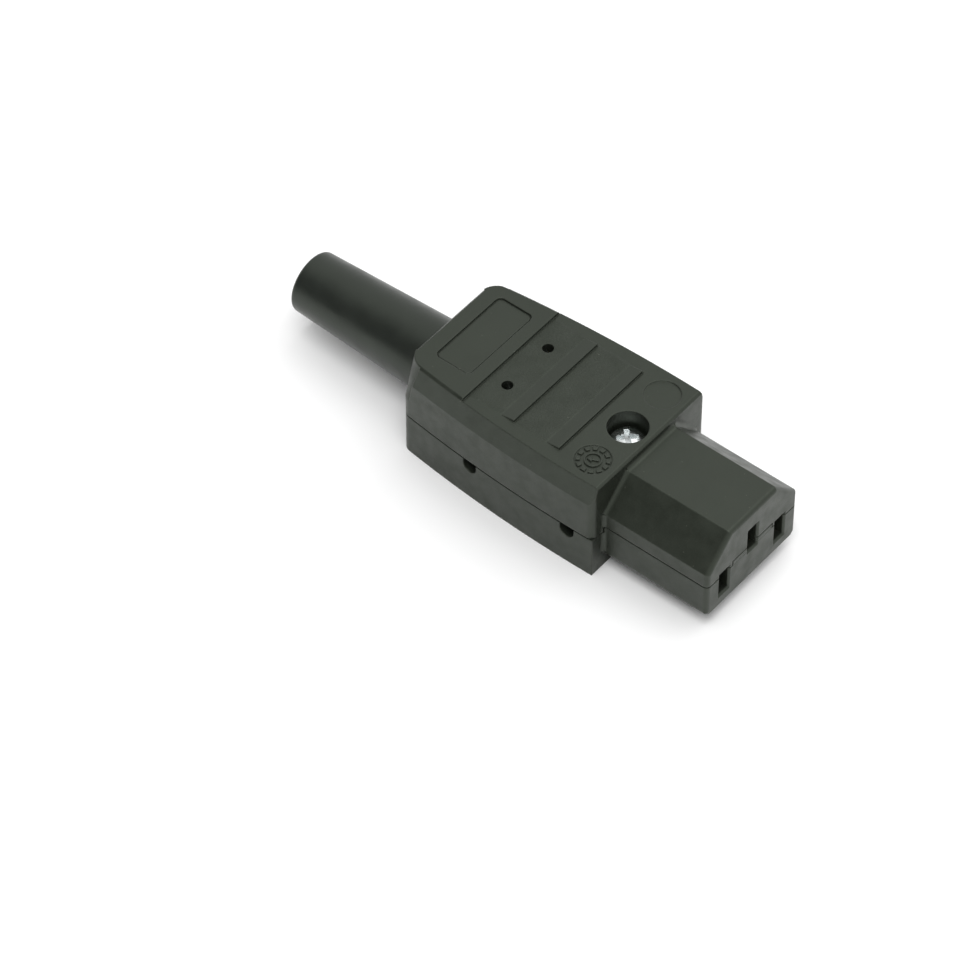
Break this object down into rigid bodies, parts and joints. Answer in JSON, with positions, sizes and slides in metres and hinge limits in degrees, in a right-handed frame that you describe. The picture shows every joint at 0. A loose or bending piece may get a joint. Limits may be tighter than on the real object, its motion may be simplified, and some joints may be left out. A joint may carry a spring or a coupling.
{
  "type": "rewirable power connector",
  "caption": "Rewirable black mains appliance connector with a bevelled nose for blade pins, a two-part screwed body, a grip-stepped top and a tapered cord sleeve.",
  "frame": {"origin": "middle of the flat mating face, half-way in height between the earth pin's centre and the centres of the line and neutral pins", "axes": "+X from the mating face back along the connector to the cord, +Y towards the neutral socket, +Z towards the earth socket and the screw side"},
  "size_m": [0.0894, 0.0284, 0.0197],
  "materials": {
    "shell_plastic": "moulded, satin, fine spark-eroded grain",
    "sleeve_rubber": "smooth, soft satin",
    "zinc_steel": "bright zinc plated",
    "contact_brass": "plain stamped and turned brass",
    "spring_steel": "plain spring strip"
  },
  "bodies": {
    "housing": {"upper_shell": "shell_plastic", "lower_shell": "shell_plastic", "strain_relief_sleeve": "sleeve_rubber", "housing_nut": "zinc_steel", "cord_clamp": "shell_plastic", "cord_clamp_screw_left": "zinc_steel", "cord_clamp_screw_right": "zinc_steel", "line_contact": "contact_brass", "line_contact_spring": "spring_steel", "line_terminal_block": "contact_brass", "line_terminal_screw": "zinc_steel", "neutral_contact": "contact_brass", "neutral_contact_spring": "spring_steel", "neutral_terminal_block": "contact_brass", "neutral_terminal_screw": "zinc_steel", "earth_contact": "contact_brass", "earth_contact_spring": "spring_steel", "earth_terminal_block": "contact_brass", "earth_terminal_screw": "zinc_steel"},
    "screw": {"housing_screw": "zinc_steel"}
  },
  "joints": [
    {"name": "housing_screw_turn", "type": "hinge", "parent": "housing", "child": "screw", "pos_m": [0.0247, 0, 0.0079], "axis": [0, 0, 1], "continuous": true}
  ]
}
